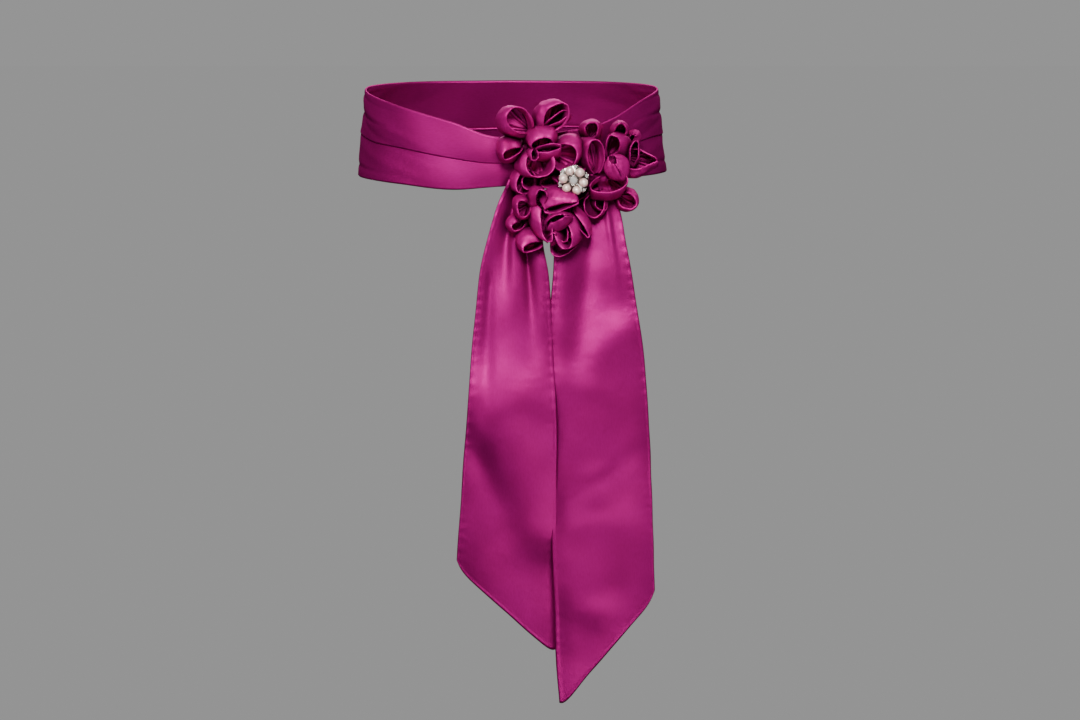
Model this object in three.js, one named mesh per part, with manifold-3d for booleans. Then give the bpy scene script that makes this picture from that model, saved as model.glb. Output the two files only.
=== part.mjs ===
// A satin sash belt as worn: a pleated waist band, two hanging tails, three
// ribbon flowers made of sewn loops, and a pearl brooch at their middle.
// Millimetres, +Z up, the front faces -Y, +X is on the right seen from the front.
// The origin is the centre of the waist opening.

import * as THREE from "three";
import { mergeVertices } from "three/addons/utils/BufferGeometryUtils.js";
import Module from "manifold-3d";

const wasm = await Module();
wasm.setup();

// Driving dimensions
const waistHalfWidth = 125.5;
const waistHalfDepth = 97;
const roundness = 2.3; // 2 is an ellipse, more is squarer
const clearance = 0.35; // gap that neighbouring pieces keep
const tailWall = 1.5;
const petalWall = 1.1;

const pearlRadius = 3.6;
const pearlRing = 8.3;
const pearlSeat = 2.6; // from a pearl's centre to its flat back
const crystalRadius = 3.1;
const smallStoneRadius = 1.15;
const smallStoneRing = 11.2;
const settingRadius = 11.9;
const settingThickness = 2;
const broochCentre = new THREE.Vector3(50.3, -121.5, -34.7); // on the setting's front face
const pearlAngles = [51, -11, -72, -132, 170, 110];
const smallStoneAngles = [20, 80, 140, 200, 260, 320];

// Half width and half depth of the body that the cloth lies round, by height
const girthColumns = ["height", "halfWidth", "halfDepth"];
const girthRows = [
  [60, waistHalfWidth - 5, waistHalfDepth - 5],
  [0, waistHalfWidth, waistHalfDepth],
  [-50, waistHalfWidth + 7, waistHalfDepth + 7],
  [-111, waistHalfWidth + 20, waistHalfDepth + 15],
  [-200, waistHalfWidth + 37, waistHalfDepth + 24],
  [-270, waistHalfWidth + 43, waistHalfDepth + 27],
  [-500, waistHalfWidth + 43, waistHalfDepth + 27],
];

// Top and bottom edge of the band, by angle from the front in degrees
const bandColumns = ["angle", "top", "bottom"];
const bandRows = [
  [-180, 42, -36],
  [-135, 41, -36],
  [-90, 37, -36],
  [-66, 31, -37.5],
  [-43, 22.7, -40],
  [-19, 11, -43.7],
  [-3, -0.8, -41],
  [20, 4.7, -37.5],
  [31, 8.6, -36.5],
  [61, 29.6, -34],
  [90, 37, -33],
  [135, 41, -35],
  [180, 42, -36],
];

// The band's wall: where each corner lies up its height, and how far out. The
// upper pleat laps over the lower one a little below the middle.
const bandSection = [
  { share: 0, out: -1.2 },
  { share: 0, out: 0.4 },
  { share: 0.1, out: 1.6 },
  { share: 0.3, out: 2 },
  { share: 0.45, out: 1.1 },
  { share: 0.475, out: 0.5 },
  { share: 0.485, out: 2.3 },
  { share: 0.65, out: 2.6 },
  { share: 0.93, out: 1.6 },
  { share: 1, out: 0.2 },
  { share: 1, out: -1.2 },
  { share: 0.5, out: -1.4 },
];

// Edges of the two tails, by height
const tailColumns = ["height", "left", "right"];
const leftTailRows = [
  [-36, -2, 27],
  [-56, -11, 27],
  [-84, -19, 26],
  [-111, -25, 30.5],
  [-155, -30, 33.5],
  [-212, -34.5, 36.5],
  [-260, -38.5, 37.5],
  [-345, -44.5, 37.5],
  [-430, -48, 37.5],
];
const rightTailRows = [
  [-36, 34, 79],
  [-59, 35.5, 88],
  [-84, 35, 93],
  [-111, 34.5, 98],
  [-139, 33, 102.5],
  [-172, 32.5, 107.5],
  [-212, 33, 111],
  [-293, 34, 115],
  [-377, 38, 117.5],
  [-470, 40, 119],
];

// Lower ends of the tails: a slanted cut from the outer corner to the inner tip
const leftTailEnd = { outer: -350, inner: -424, round: 6 };
const rightTailEnd = { outer: -465, inner: -374, round: 6 };

// Folds of the tails: across and down are shares of the tail, height is outward
const foldColumns = ["acrossTop", "acrossEnd", "from", "to", "width", "height"];
const leftTailFolds = [
  [0.3, 0.62, 0.04, 0.2, 0.1, -2.5],
  [0.25, 0.5, 0.3, 0.62, 0.14, -2.2],
  [0.08, 0.14, 0.5, 1, 0.14, 1.8],
  [0.7, 0.72, 0.25, 0.9, 0.16, 1.6],
  [1, 1, 0.2, 1.1, 0.12, 2.4],
];
const rightTailFolds = [
  [0, 0, 0.1, 1.1, 0.08, -2.2],
  [0.78, 0.8, 0.03, 0.24, 0.05, 2],
  [0.5, 0.3, 0.1, 0.34, 0.12, -2.2],
  [0.52, 0.9, 0.3, 0.42, 0.1, -1.8],
  [0.62, 0.7, 0.5, 0.95, 0.16, 1.8],
  [0.26, 0.3, 0.6, 1, 0.1, 1.2],
];

// Each flower's middle, and how far it turns to the side and down, in degrees
const flowers = {
  1: { x: 29.2, y: -101.5, z: -14, yaw: 6, pitch: 0 },
  2: { x: 80.8, y: -90, z: -28, yaw: 20, pitch: 0 },
  3: { x: 32.4, y: -113, z: -69, yaw: 5, pitch: -6 },
};

// One row for each ribbon loop. x and z place its root in the flower's plane,
// angle and reach lead to its tip, and width is its front rim's. pinch narrows
// the root and point the tip. foot and spread scale the back edge's length and
// width against the rim's, shiftX and shiftZ move the back edge, low and high
// are the back edge's and the rim's heights over the plane, and belly rounds it.
const petalColumns = [
  "flower", "x", "z", "angle", "reach", "width", "pinch", "point",
  "foot", "spread", "shiftX", "shiftZ", "low", "high", "belly",
];
const petalRows = [
  [1, -11.5, 18, 139, 28, 17.5, 0.2, 0, 1, 1.05, -6.5, -2.5, -2, 16, 1],
  [1, -1.5, 18.5, 62, 26, 20, 0.2, 0.1, 1, 1.05, -5, 1, -2, 16, 1],
  [1, -21, 5, -157, 18.5, 7, 0.3, 0, 1.1, 2.6, 0, 1, -2, 15, 1],
  [1, -4.5, -0.5, 98, 17, 16, 0.2, 0, 1, 1.15, 1.5, 6.5, 2, 19, 1],
  [1, 2.5, -0.5, -16, 21, 28, 0.1, 0, 0.95, 0.95, 3, 6.5, -2, 20, 1],
  [1, -8, 3, -81, 21, 21, 0, 0, 0.9, 1, -6.5, -1.5, 0, 22, 1],
  [1, -4, -3.5, 135, 10, 9, 0.1, 0, 1.1, 1.3, 3, 6.5, 6, 22, 1],
  [1, -13.5, -14, -116, 18.5, 13.5, 0.2, 0, 1, 1.05, -2.5, 2.5, -2, 14, 1],
  [1, 1, -20, -96, 8, 11.5, 0.1, 0, 1, 1.2, 1.5, 3, -2, 14, 0.5],
  [2, -16.5, 25, 96, 17, 12, 0.2, 0, 1, 1.2, -4, 0, -2, 14, 1],
  [2, 4, 27.5, 90, 10.5, 9, 0.1, 0, 1, 1.3, -1, 1, -2, 13, 0.5],
  [2, 11, 23, 62, 16.5, 9, 0.2, 0, 1, 1.2, 1.5, 0, -6, 8, 0.5],
  [2, -13.5, -2.5, 99, 27.5, 12, 0.1, 0, 1, 1.05, -5.5, 1, 0, 20, 1],
  [2, 2.5, 6, 86, 24, 21.5, 0.1, 0, 0.9, 0.75, -7, -2.5, 0, 19, 1],
  [2, 9.5, 7, 1, 23.5, 19.5, 0, 0.5, 1, 1, 1, -1, -4, 15, 0.5],
  [2, -5, 6, -86, 13.5, 6.5, 0.1, 0, 1.1, 2.2, 6.5, 10.5, 3, 21, 1],
  [2, -8, -2.5, -75, 13.5, 30.5, 0, 0, 1, 0.8, 0, -7, 0, 22, 1],
  [2, 4, -18, -49, 17.5, 16, 0.1, 0, 1, 1.1, 3, 5.5, -3, 15, 1],
  [2, -13, -16.5, -115, 22, 14.5, 0.2, 0, 1, 1, 3, 1, -1, 15, 1],
  [2, -22.5, -10, -129, 19.5, 8, 0, 0.2, 1, 1.2, 1.5, 3, -1, 12, 0.5],
  [3, -5, 10.5, 19, 26, 7, 0.1, 0.5, 1, 2, -3, 6.5, 3, 20, 1],
  [3, -5.5, 3.5, 32, 17, 7, 0.1, 0, 1, 1.6, -1.5, -8, 5, 19, 1],
  [3, -6, 12.5, -86, 25, 13.5, 0, 0, 0.95, 1, -9, 3, 0, 20, 1],
  [3, 6, 4.5, -76, 24.5, 13.5, 0, 0, 0.95, 1, 7, 2.5, 0, 20, 1],
  [3, 17, 13.5, -55, 24, 5, 0.3, 0.2, 1, 1.5, 2.5, 2.5, -2, 15, 0.5],
  [3, -19, 15, -164, 11.5, 14.5, 0.1, 0, 1, 1.1, -1.5, -1, -2, 14, 1],
  [3, -6, -15.5, -167, 18, 7, 0, 0, 1.1, 2.2, -3, 5, -2, 15, 1],
  [3, 6.5, -12, -65, 15.5, 22.5, 0, 0, 1, 1, 1.5, 2.5, -3, 12, 0.5],
  [3, -22.5, 0.5, -164, 14, 14.5, 0.1, 0, 1, 1.1, 0, 1.5, -3, 9, 0.5],
  [3, -9.5, 14.5, 91, 16, 10.5, 0, 0, 1, 1.05, -5.5, -1.5, 0, 17, 1],
];

// The knot where the flowers are sewn together, behind the brooch
const knotRadius = 13;
const knotDepth = 27;

const bandSteps = 42;
const tailAcross = 9;
const tailDown = 15;

// Colour, roughness and metalness of each material
const satinMaterial = new THREE.MeshStandardMaterial({ color: 0xb82b82, roughness: 0.42, metalness: 0.1 });
const silverMaterial = new THREE.MeshStandardMaterial({ color: 0xc9c9cc, roughness: 0.25, metalness: 1 });
const pearlMaterial = new THREE.MeshStandardMaterial({ color: 0xf3e4df, roughness: 0.25, metalness: 0 });
const crystalMaterial = new THREE.MeshStandardMaterial({ color: 0xe6efee, roughness: 0.05, metalness: 0 });

const radians = THREE.MathUtils.degToRad;

function named(columns, rows) {
  return rows.map((row) => Object.fromEntries(columns.map((column, i) => [column, row[i]])));
}

// A smooth value between the rows of a table: a cubic through each row, whose
// slope there is that of the line between the two rows beside it.
function between(rows, key, value, at) {
  const sorted = [...rows].sort((a, b) => a[key] - b[key]);
  const last = sorted.length - 1;
  let i = 0;
  while (i < last - 1 && sorted[i + 1][key] < at) i += 1;
  const slope = (j) => {
    const low = sorted[Math.max(j - 1, 0)];
    const high = sorted[Math.min(j + 1, last)];
    return (high[value] - low[value]) / (high[key] - low[key]);
  };
  const width = sorted[i + 1][key] - sorted[i][key];
  const t = THREE.MathUtils.clamp((at - sorted[i][key]) / width, 0, 1);
  const start = sorted[i][value] * (1 + 2 * t) * (1 - t) ** 2;
  const end = sorted[i + 1][value] * (3 - 2 * t) * t ** 2;
  const lean = width * t * (1 - t) * (slope(i) * (1 - t) - slope(i + 1) * t);
  return start + end + lean;
}

const girth = named(girthColumns, girthRows);
const bandEdges = named(bandColumns, bandRows);

// A point on the rounded body, by angle from the front and by height
function roundBody(angle, height, out) {
  const power = 2 / roundness;
  const halfWidth = between(girth, "height", "halfWidth", height) + out;
  const halfDepth = between(girth, "height", "halfDepth", height) + out;
  const sine = Math.sin(angle);
  const cosine = Math.cos(angle);
  return [
    halfWidth * Math.sign(sine) * Math.abs(sine) ** power,
    -halfDepth * Math.sign(cosine) * Math.abs(cosine) ** power,
    height,
  ];
}

// The front of the same body, by distance to the right
function frontOfBody(x, height, out) {
  const halfWidth = between(girth, "height", "halfWidth", height);
  const halfDepth = between(girth, "height", "halfDepth", height);
  const share = 1 - Math.abs(x / halfWidth) ** roundness;
  return -halfDepth * share ** (1 / roundness) - out;
}

// The band's lower edge at a distance to the right
function bandBottom(x) {
  const sine = (Math.abs(x) / (waistHalfWidth + 5)) ** (roundness / 2);
  const angle = THREE.MathUtils.radToDeg(Math.asin(sine)) * Math.sign(x);
  return between(bandEdges, "angle", "bottom", angle);
}

function geometryOf(points, triangles) {
  const geometry = new THREE.BufferGeometry();
  geometry.setAttribute("position", new THREE.Float32BufferAttribute(points.flat(), 3));
  geometry.setIndex(triangles.flat());
  return geometry;
}

function volumeOf(points, triangles) {
  const corners = [new THREE.Vector3(), new THREE.Vector3(), new THREE.Vector3()];
  let volume = 0;
  for (const triangle of triangles) {
    triangle.forEach((index, i) => corners[i].set(...points[index]));
    volume += corners[0].dot(corners[1].cross(corners[2])) / 6;
  }
  return volume;
}

// Rings of equal length joined by triangles. The first ring follows the last,
// or else each end is closed by a strip across its ring.
function lofted(rings, closed) {
  const size = rings[0].length;
  const points = rings.flat();
  const triangles = [];
  const count = closed ? rings.length : rings.length - 1;
  for (let i = 0; i < count; i += 1) {
    const here = i * size;
    const next = ((i + 1) % rings.length) * size;
    for (let j = 0; j < size; j += 1) {
      const k = (j + 1) % size;
      triangles.push([here + j, next + j, next + k]);
      triangles.push([here + j, next + k, here + k]);
    }
  }
  if (!closed) {
    const end = (rings.length - 1) * size;
    for (let j = 0; j < size / 2 - 1; j += 1) {
      const k = size - 1 - j;
      triangles.push([j, j + 1, k - 1], [j, k - 1, k]);
      triangles.push([end + j, end + k - 1, end + j + 1], [end + j, end + k, end + k - 1]);
    }
  }
  if (volumeOf(points, triangles) < 0) triangles.forEach((triangle) => triangle.reverse());
  return geometryOf(points, triangles);
}

// A sheet given as a grid of points, thickened to both sides. Each row of the
// grid becomes a ring: its outer side there, its inner side back. grow adds the
// clearance all round.
function thickened(grid, wall, grow) {
  const count = grid.length;
  const size = grid[0].length;
  const point = (i, j) => new THREE.Vector3(...grid[i][j]);
  const along = (i, j) => point(Math.min(i + 1, count - 1), j).sub(point(Math.max(i - 1, 0), j)).normalize();
  const across = (i, j) => point(i, Math.min(j + 1, size - 1)).sub(point(i, Math.max(j - 1, 0))).normalize();
  return grid.map((row, i) => {
    const outer = [];
    const inner = [];
    for (let j = 0; j < size; j += 1) {
      const a = along(i, j);
      const b = across(i, j);
      const normal = new THREE.Vector3().crossVectors(a, b).normalize();
      const middle = point(i, j);
      if (i === 0) middle.addScaledVector(a, -grow);
      if (i === count - 1) middle.addScaledVector(a, grow);
      if (j === 0) middle.addScaledVector(b, -grow);
      if (j === size - 1) middle.addScaledVector(b, grow);
      const half = wall / 2 + grow;
      outer.push(middle.clone().addScaledVector(normal, half).toArray());
      inner.push(middle.clone().addScaledVector(normal, -half).toArray());
    }
    return [...outer, ...inner.reverse()];
  });
}

function waistBand(grow) {
  const rings = [];
  for (let i = 0; i < bandSteps; i += 1) {
    const degrees = -180 + (360 * i) / bandSteps;
    const top = between(bandEdges, "angle", "top", degrees) + grow;
    const bottom = between(bandEdges, "angle", "bottom", degrees) - grow;
    rings.push(bandSection.map(({ share, out }) => {
      const side = out < 0 ? -grow : grow;
      return roundBody(radians(degrees), bottom + (top - bottom) * share, out + side);
    }));
  }
  return lofted(rings, true);
}

// How far a tail's folds stand out at a share across and a share down
function foldHeight(folds, across, down) {
  let height = 0;
  for (const fold of folds) {
    const t = (down - fold.from) / (fold.to - fold.from);
    if (t <= 0 || t >= 1) continue;
    const middle = fold.acrossTop + (fold.acrossEnd - fold.acrossTop) * t;
    const fade = Math.sin(Math.PI * t) ** 0.7;
    height += fold.height * fade * Math.exp(-(((across - middle) / fold.width) ** 2));
  }
  return height;
}

// A tail hangs from the band's lower edge on the rounded body. Its lower end is
// a slanted line with rounded corners.
function tail(edgeRows, foldRows, end, grow) {
  const edges = named(tailColumns, edgeRows);
  const folds = named(foldColumns, foldRows);
  const grid = [];
  for (let i = 0; i <= tailAcross; i += 1) {
    const even = i / tailAcross;
    const across = 0.4 * even + 0.3 * (1 - Math.cos(Math.PI * even));
    const corner = end.round * Math.abs(2 * across - 1) ** 8;
    const lowest = end.outer + (end.inner - end.outer) * across + corner;
    const row = [];
    for (let j = 0; j <= tailDown; j += 1) {
      const down = j / tailDown;
      const topX = edges[0].left + (edges[0].right - edges[0].left) * across;
      const highest = bandBottom(topX) - clearance;
      const height = highest + (lowest - highest) * down;
      const left = between(edges, "height", "left", height);
      const right = between(edges, "height", "right", height);
      const x = left + (right - left) * across;
      row.push([x, frontOfBody(x, height, 0.4 + foldHeight(folds, across, down)), height]);
    }
    grid.push(row);
  }
  return lofted(thickened(grid, tailWall, grow), false);
}

// The three directions of a flower: to its right, up in its plane, and outward
function flowerDirections({ yaw, pitch }) {
  const turn = radians(yaw);
  const tilt = radians(pitch);
  const right = new THREE.Vector3(Math.cos(turn), Math.sin(turn), 0);
  const level = Math.cos(tilt);
  const out = new THREE.Vector3(Math.sin(turn) * level, -Math.cos(turn) * level, Math.sin(tilt));
  const up = new THREE.Vector3().crossVectors(right, out).negate();
  return { right, up, out };
}

// A ribbon loop: a closed curve from its root round its tip and back, swept from
// the back edge (depth 0) to the front rim (depth 1). At turn a round the loop,
// its length runs as (1 - cos a) / 2 and its width as the sine of a.
function petal(row, grow) {
  const flower = flowers[row.flower];
  const { right, up, out } = flowerDirections(flower);
  const heading = radians(row.angle);
  const ahead = right.clone().multiplyScalar(Math.cos(heading)).addScaledVector(up, Math.sin(heading));
  const aside = right.clone().multiplyScalar(-Math.sin(heading)).addScaledVector(up, Math.cos(heading));
  const root = new THREE.Vector3(flower.x, flower.y, flower.z);
  root.addScaledVector(right, row.x).addScaledVector(up, row.z);
  const steps = row.width < 8 ? 11 : 13;
  const mouth = 0.04; // share of the turn that stays open at the root
  const widest = widestSine(row);
  const grid = [];
  for (let i = 0; i < steps; i += 1) {
    const a = 2 * Math.PI * (mouth + ((1 - 2 * mouth) * i) / (steps - 1));
    const share = (1 - Math.cos(a)) / 2;
    const sine = loopSine(row, a) / widest;
    const full = 0.45 + 0.55 * Math.sin(a / 2) ** 0.9;
    const line = [];
    for (const depth of [0, 0.5, 1]) {
      const g = depth ** 0.8;
      const swell = row.belly * Math.sin(Math.PI * depth ** 0.9);
      const length = row.reach * share * (row.foot + (1 - row.foot) * g) + swell * (2 * share - 1) * share;
      const width = (row.width / 2) * sine * (row.spread + (1 - row.spread) * g) + swell * sine;
      const place = root.clone();
      place.addScaledVector(right, row.shiftX * (1 - g)).addScaledVector(up, row.shiftZ * (1 - g));
      place.addScaledVector(ahead, length);
      place.addScaledVector(aside, width + 0.9 * Math.sign(sine));
      place.addScaledVector(out, row.low + (row.high - row.low) * depth * full);
      line.push(place.toArray());
    }
    grid.push(line);
  }
  return lofted(thickened(grid, petalWall, grow), false);
}

function loopSine(row, a) {
  return Math.sin(a) * Math.sin(a / 2) ** (2 * row.pinch) * Math.abs(Math.cos(a / 2)) ** (2 * row.point);
}

function widestSine(row) {
  let widest = 0;
  for (let i = 0; i < 40; i += 1) widest = Math.max(widest, loopSine(row, (Math.PI * i) / 40));
  return widest;
}

// Turned about the brooch's axis: profile points are radius and height toward
// the front, from the axis at the back to the axis at the front.
function turned(profile, sides, x, z, y) {
  const points = profile.map(([radius, height]) => new THREE.Vector2(radius, height));
  const geometry = new THREE.LatheGeometry(points, sides);
  geometry.rotateX(Math.PI);
  geometry.translate(x, y, z);
  return geometry;
}

function onRing(ring, degrees) {
  const angle = radians(degrees);
  return { x: broochCentre.x + ring * Math.cos(angle), z: broochCentre.z + ring * Math.sin(angle) };
}

function pearl(degrees) {
  const { x, z } = onRing(pearlRing, degrees);
  const profile = [[0, -pearlSeat]];
  const start = Math.asin(-pearlSeat / pearlRadius);
  const steps = 4;
  for (let i = 0; i <= steps; i += 1) {
    const angle = start + ((Math.PI / 2 - start) * i) / steps;
    profile.push([i === steps ? 0 : pearlRadius * Math.cos(angle), pearlRadius * Math.sin(angle)]);
  }
  return turned(profile, 12, x, z, broochCentre.y - clearance - pearlSeat);
}

// A round stone with a flat table, eight crown facets and eight below
function cutStone(radius, x, z, culet) {
  const profile = [
    [0, 0],
    [radius, radius * 0.5],
    [radius, radius * 0.58],
    [radius * 0.6, radius * 0.95],
    [0, radius * 0.95],
  ];
  return turned(profile, 8, x, z, culet);
}

// The setting's outline has a lobe under each small stone
function settingPlate(radius, thickness, back) {
  const steps = 36;
  const outline = [];
  for (let i = 0; i < steps; i += 1) {
    const angle = (2 * Math.PI * i) / steps;
    const reach = radius + 0.7 * Math.cos(6 * (angle - radians(smallStoneAngles[0])));
    outline.push(new THREE.Vector2(reach * Math.cos(angle), reach * Math.sin(angle)));
  }
  const options = { depth: thickness, bevelEnabled: false };
  const plate = new THREE.ExtrudeGeometry(new THREE.Shape(outline), options);
  plate.rotateX(Math.PI / 2);
  plate.translate(broochCentre.x, back, broochCentre.z);
  return plate;
}

// The cup round the middle crystal: a ring that stands on the plate
function crystalCup() {
  const inner = crystalRadius + clearance;
  const outer = inner + 0.7;
  const profile = [[inner, -1], [outer, -1], [outer, 2.1], [inner, 2.1], [inner, -1]];
  return turned(profile, 16, broochCentre.x, broochCentre.z, broochCentre.y);
}

function solidOf(geometry) {
  geometry.deleteAttribute("normal");
  if (geometry.getAttribute("uv")) geometry.deleteAttribute("uv");
  const merged = mergeVertices(geometry, 1e-4);
  const vertProperties = new Float32Array(merged.getAttribute("position").array);
  const triVerts = new Uint32Array(merged.getIndex().array);
  const mesh = new wasm.Mesh({ numProp: 3, vertProperties, triVerts });
  return new wasm.Manifold(mesh);
}

function geometryFrom(solid) {
  const { vertProperties, triVerts, numProp } = solid.getMesh();
  const geometry = new THREE.BufferGeometry();
  const positions = [];
  for (let i = 0; i < vertProperties.length; i += numProp) {
    positions.push(vertProperties[i], vertProperties[i + 1], vertProperties[i + 2]);
  }
  geometry.setAttribute("position", new THREE.Float32BufferAttribute(positions, 3));
  geometry.setIndex([...triVerts]);
  return geometry;
}

// The largest single body of a solid that a cut may have left in pieces
function largestBody(solid) {
  return solid.decompose().sort((a, b) => b.volume() - a.volume())[0];
}

const group = new THREE.Group();
group.name = "ribbon_sash_belt";

function add(name, geometry, material) {
  geometry.computeVertexNormals();
  const mesh = new THREE.Mesh(geometry, material);
  mesh.name = name;
  group.add(mesh);
}

add("waist_band", waistBand(0), satinMaterial);
add("left_tail", tail(leftTailRows, leftTailFolds, leftTailEnd, 0), satinMaterial);
// The left tail lies a little over the right one, which is trimmed to clear it
const leftTailCutter = solidOf(tail(leftTailRows, leftTailFolds, leftTailEnd, clearance));
const rightTail = solidOf(tail(rightTailRows, rightTailFolds, rightTailEnd, 0)).subtract(leftTailCutter);
add("right_tail", geometryFrom(largestBody(rightTail)), satinMaterial);

// What the flowers keep clear of: the band, the tails, and the brooch's space
const cutters = [
  solidOf(waistBand(clearance)),
  leftTailCutter,
  solidOf(tail(rightTailRows, rightTailFolds, rightTailEnd, clearance)),
  solidOf(settingPlate(settingRadius + 1.4, 12, broochCentre.y + settingThickness + clearance)),
];

// Petals whose rims stand higher keep their form, and those behind are trimmed
const petals = named(petalColumns, petalRows);
petals.forEach((row, i) => {
  const before = petals.slice(0, i + 1).filter((other) => other.flower === row.flower).length;
  row.name = `flower_${row.flower}_petal_${String(before).padStart(2, "0")}`;
});
for (const row of [...petals].sort((a, b) => b.high - a.high)) {
  let solid = solidOf(petal(row, 0));
  for (const cutter of cutters) solid = solid.subtract(cutter);
  add(row.name, geometryFrom(largestBody(solid)), satinMaterial);
  cutters.push(solidOf(petal(row, clearance)));
}

// The knot fills what the petals leave behind the brooch
const knotBack = broochCentre.y + settingThickness + clearance;
const knotProfile = [[0, -knotDepth], [knotRadius * 0.7, -knotDepth], [knotRadius, -knotDepth / 2]];
knotProfile.push([knotRadius * 0.8, -3], [knotRadius * 0.4, 0], [0, 0]);
let knot = solidOf(turned(knotProfile, 12, broochCentre.x, broochCentre.z, knotBack));
for (const cutter of cutters) knot = knot.subtract(cutter);
add("gathered_knot", geometryFrom(largestBody(knot)), satinMaterial);

const plateBack = broochCentre.y + settingThickness;
const plate = solidOf(settingPlate(settingRadius, settingThickness, plateBack));
add("brooch_setting", geometryFrom(plate.add(solidOf(crystalCup()))), silverMaterial);
const culet = broochCentre.y - clearance;
add("centre_crystal", cutStone(crystalRadius, broochCentre.x, broochCentre.z, culet), crystalMaterial);
pearlAngles.forEach((degrees, i) => add(`pearl_${i + 1}`, pearl(degrees), pearlMaterial));
smallStoneAngles.forEach((degrees, i) => {
  const { x, z } = onRing(smallStoneRing, degrees);
  add(`small_stone_${i + 1}`, cutStone(smallStoneRadius, x, z, culet), crystalMaterial);
});

export default group;
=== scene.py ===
# A magenta satin sash belt: pleated waist band, two slanted tails, three
# flowers of sewn ribbon loops and a pearl brooch at their middle.
import bmesh
import bpy
import numpy as np
from mathutils import Matrix, Vector


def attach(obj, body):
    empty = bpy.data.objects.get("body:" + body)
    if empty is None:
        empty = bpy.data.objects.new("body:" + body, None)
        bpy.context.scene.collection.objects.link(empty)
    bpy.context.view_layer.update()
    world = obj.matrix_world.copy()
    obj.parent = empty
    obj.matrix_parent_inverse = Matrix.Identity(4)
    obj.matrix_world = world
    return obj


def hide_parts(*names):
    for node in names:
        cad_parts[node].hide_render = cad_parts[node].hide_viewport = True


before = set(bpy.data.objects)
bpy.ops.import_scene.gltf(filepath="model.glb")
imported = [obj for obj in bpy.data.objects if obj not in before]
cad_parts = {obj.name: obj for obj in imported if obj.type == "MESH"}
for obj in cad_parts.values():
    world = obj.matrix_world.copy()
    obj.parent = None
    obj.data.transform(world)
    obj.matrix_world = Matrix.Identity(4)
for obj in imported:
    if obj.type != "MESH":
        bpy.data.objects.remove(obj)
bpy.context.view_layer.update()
mm = 0.001
pi = np.pi


# Tables and curves

def table(columns, rows):
    # a dictionary with one array for each named column
    return {name: np.array(values, float) for name, values in zip(columns.split(), zip(*rows))}


def through(rows, key, column, at):
    # cubic through each row, whose slope there is that of the line between the rows beside it
    order = np.argsort(rows[key])
    x = rows[key][order]
    y = rows[column][order]
    at = np.asarray(at, float)
    i = np.clip(np.searchsorted(x, at) - 1, 0, len(x) - 2)
    slope = np.empty_like(x)
    slope[1:-1] = (y[2:] - y[:-2]) / (x[2:] - x[:-2])
    slope[0] = (y[1] - y[0]) / (x[1] - x[0])
    slope[-1] = (y[-1] - y[-2]) / (x[-1] - x[-2])
    width = x[i + 1] - x[i]
    t = np.clip((at - x[i]) / width, 0, 1)
    ends = y[i] * (1 + 2 * t) * (1 - t) ** 2 + y[i + 1] * (3 - 2 * t) * t ** 2
    return ends + width * t * (1 - t) * (slope[i] * (1 - t) - slope[i + 1] * t)


def ease(low, high, at):
    # 0 below low, 1 above high, smooth between
    t = np.clip((at - low) / (high - low), 0, 1)
    return t * t * (3 - 2 * t)


def bump(at, middle, width):
    # a smooth hill of height 1
    return np.exp(-((at - middle) / width) ** 2)


def hills(rows, at, shift=0):
    # the sum of one smooth hill for each row
    return sum(high * bump(at, place + shift, wide) for place, wide, high in zip(*rows.values()))


def ripples(rows, turn, at):
    # the sum of one sine wave for each row, with its counts round the piece and across it
    return sum(high * np.sin(around * turn + across * at) for high, around, across in zip(*rows.values()))


def unit(vectors):
    return vectors / np.maximum(np.linalg.norm(vectors, axis=-1, keepdims=True), 1e-9)


def crumple(points, amount, length, seed):
    # moves each point by a few crossing waves of its own place, so that nothing is quite even
    dice = np.random.default_rng(seed)
    moved = points.copy()
    for size in (1.0, 0.62, 0.38):
        for _ in range(3):
            wave = unit(dice.normal(size=3)) * 2 * pi / (length * size)
            way = unit(dice.normal(size=3))
            swell = np.sin(points @ wave + dice.uniform(0, 2 * pi))
            moved = moved + amount * size * 0.5 * swell[..., None] * way
    return moved


# Mesh making

def meshFrom(name, points, faces, uv=None):
    # points in millimetres, with one uv pair for each of them
    mesh = bpy.data.meshes.new(name)
    if isinstance(faces, np.ndarray):
        faces = faces.tolist()
    mesh.from_pydata((points * mm).tolist(), [], faces)
    mesh.polygons.foreach_set("use_smooth", np.ones(len(mesh.polygons), bool))
    if uv is not None:
        corner = np.zeros(len(mesh.loops), np.int32)
        mesh.loops.foreach_get("vertex_index", corner)
        mesh.uv_layers.new(name="cloth").data.foreach_set("uv", uv[corner].ravel())
    mesh.update()
    mesh.use_auto_texspace = False  # centred on the body's axis: the sheen then spreads level round it
    mesh.texspace_location = (0, 0, 0)
    mesh.texspace_size = (0.2, 0.2, 0.5)
    piece = bpy.data.objects.new(name, mesh)
    bpy.context.collection.objects.link(piece)
    return piece


def gridFaces(index, closed):
    # quads between neighbouring rows and columns of a grid of point numbers
    rows = np.vstack([index, index[:1]]) if closed else index
    a, b, c, d = rows[:-1, :-1], rows[1:, :-1], rows[1:, 1:], rows[:-1, 1:]
    return np.stack([a, b, c, d], -1).reshape(-1, 4)


def tubeFaces(around, deep, poles=(0, -1)):
    # Faces of a grid that closes on itself. The rows named as poles shrink to one
    # point each, and with none of them the last row joins the first.
    index = np.arange(around * deep).reshape(around, deep)
    for pole in poles:
        index[:, pole] = index[0, pole]
    if not poles:
        index = np.hstack([index, index[:, :1]])
    return [list(dict.fromkeys(face)) for face in gridFaces(index, True).tolist()]


def walked(surface, axis):
    # distance along the grid's lines from their first points
    steps = np.linalg.norm(np.diff(surface, axis=axis), axis=-1)
    start = np.zeros_like(np.take(steps, [0], axis))
    return np.cumsum(np.concatenate([start, steps], axis), axis)


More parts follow.
